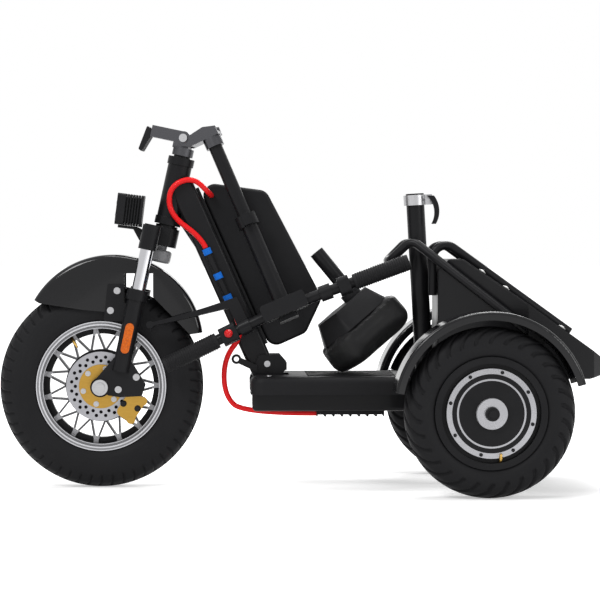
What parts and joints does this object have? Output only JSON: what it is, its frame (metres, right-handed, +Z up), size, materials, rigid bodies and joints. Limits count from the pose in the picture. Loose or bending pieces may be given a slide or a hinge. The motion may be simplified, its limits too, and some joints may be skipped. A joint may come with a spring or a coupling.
{
  "type": "folding electric trike",
  "caption": "Folding electric trike with a steered front wheel, hub-motor rear wheels, a deck, a battery pack, a tail box and a stem that folds down.",
  "frame": {"origin": "on the ground, under the middle of the vehicle's box", "axes": "+Z up, the front wheel towards -X, the rider's left side towards -Y"},
  "size_m": [1.2149, 0.6, 0.7406],
  "materials": {
    "tyre": "matt black rubber",
    "black_metal": "satin black paint",
    "hub_black": "black paint, machined rings",
    "silver": "bright metal",
    "gold": "gold anodised",
    "chrome": "polished",
    "red_lead": "red cable sleeve",
    "blue_plastic": "blue connector collar",
    "amber": "amber reflector",
    "gloss_black": "gloss black moulding",
    "black_plastic": "grained black plastic",
    "grey_metal": "grey",
    "rubber": "ribbed rubber",
    "vinyl": "black padded vinyl"
  },
  "bodies": {
    "chassis": {"deck": "black_plastic", "frame_pan": "black_metal", "controller_box": "black_plastic", "column": "black_metal", "column_foot": "black_metal", "foot_latch": "black_metal", "battery_rail": "black_metal", "battery_pack": "black_plastic", "lead_connector": "black_plastic", "connector_collars": "blue_plastic", "red_leads": "red_lead", "seat_tube": "black_metal", "seat_clamp": "silver", "seat_lever": "black_metal", "saddle_cushion": "vinyl", "saddle_pan": "black_plastic", "seat_post": "black_metal", "rear_frame": "black_metal", "tub": "gloss_black", "carrier_hoop": "black_metal", "carrier_rails": "black_metal", "rear_mudguard_left": "gloss_black", "rear_mudguard_right": "gloss_black"},
    "fork": {"fork_crown": "black_metal", "fork_stanchions": "chrome", "fork_legs": "black_metal", "leg_reflectors": "amber", "front_axle": "black_metal", "brake_caliper": "gold", "front_mudguard": "gloss_black", "guard_brackets": "black_metal", "headlamp": "black_plastic", "lamp_arm": "black_metal", "horn": "grey_metal", "hinge_base": "silver", "hinge_latch": "black_plastic"},
    "front_wheel": {"front_tyre": "tyre", "front_rim": "black_metal", "brake_disc": "silver", "disc_carrier": "gold"},
    "stem": {"stem_hinge": "silver", "stem_tube": "black_metal", "hinge_pin": "silver"},
    "bar": {"bar_sleeve": "black_metal", "bar_clamp": "black_metal", "handlebar": "black_metal", "grips": "rubber", "brake_lever": "black_metal", "switch_box": "black_plastic", "throttle_box": "black_plastic", "display": "black_plastic"},
    "rear_wheel_left": {"rear_tyre_left": "tyre", "rear_hub_left": "hub_black"},
    "rear_wheel_right": {"rear_tyre_right": "tyre", "rear_hub_right": "hub_black"}
  },
  "joints": [
    {"name": "steering", "type": "hinge", "parent": "chassis", "child": "fork", "pos_m": [-0.26639, 0, 0.53577], "axis": [-0.2147, 0, -0.9767], "range_deg": [0, 35]},
    {"name": "front_wheel_spin", "type": "hinge", "parent": "fork", "child": "front_wheel", "pos_m": [-0.4, 0, 0.2075], "axis": [0, 1, 0], "continuous": true},
    {"name": "stem_fold", "type": "hinge", "parent": "fork", "child": "stem", "pos_m": [-0.22774, 0, 0.71157], "axis": [-0.2528, -0.9659, 0.0556], "range_deg": [0, 143.6]},
    {"name": "bar_twist", "type": "hinge", "parent": "stem", "child": "bar", "pos_m": [-0.1834, -0.01042, 0.7322], "axis": [-0.387, 0.1536, 0.9092], "range_deg": [0, 62.83]},
    {"name": "rear_wheel_left_spin", "type": "hinge", "parent": "chassis", "child": "rear_wheel_left", "pos_m": [0.368, -0.24, 0.168], "axis": [0, 1, 0], "continuous": true},
    {"name": "rear_wheel_right_spin", "type": "hinge", "parent": "chassis", "child": "rear_wheel_right", "pos_m": [0.368, 0.24, 0.168], "axis": [0, 1, 0], "continuous": true}
  ],
  "couplings": [
    {"joint": "bar_twist", "follows": "stem_fold", "ratio": 0.4375}
  ]
}
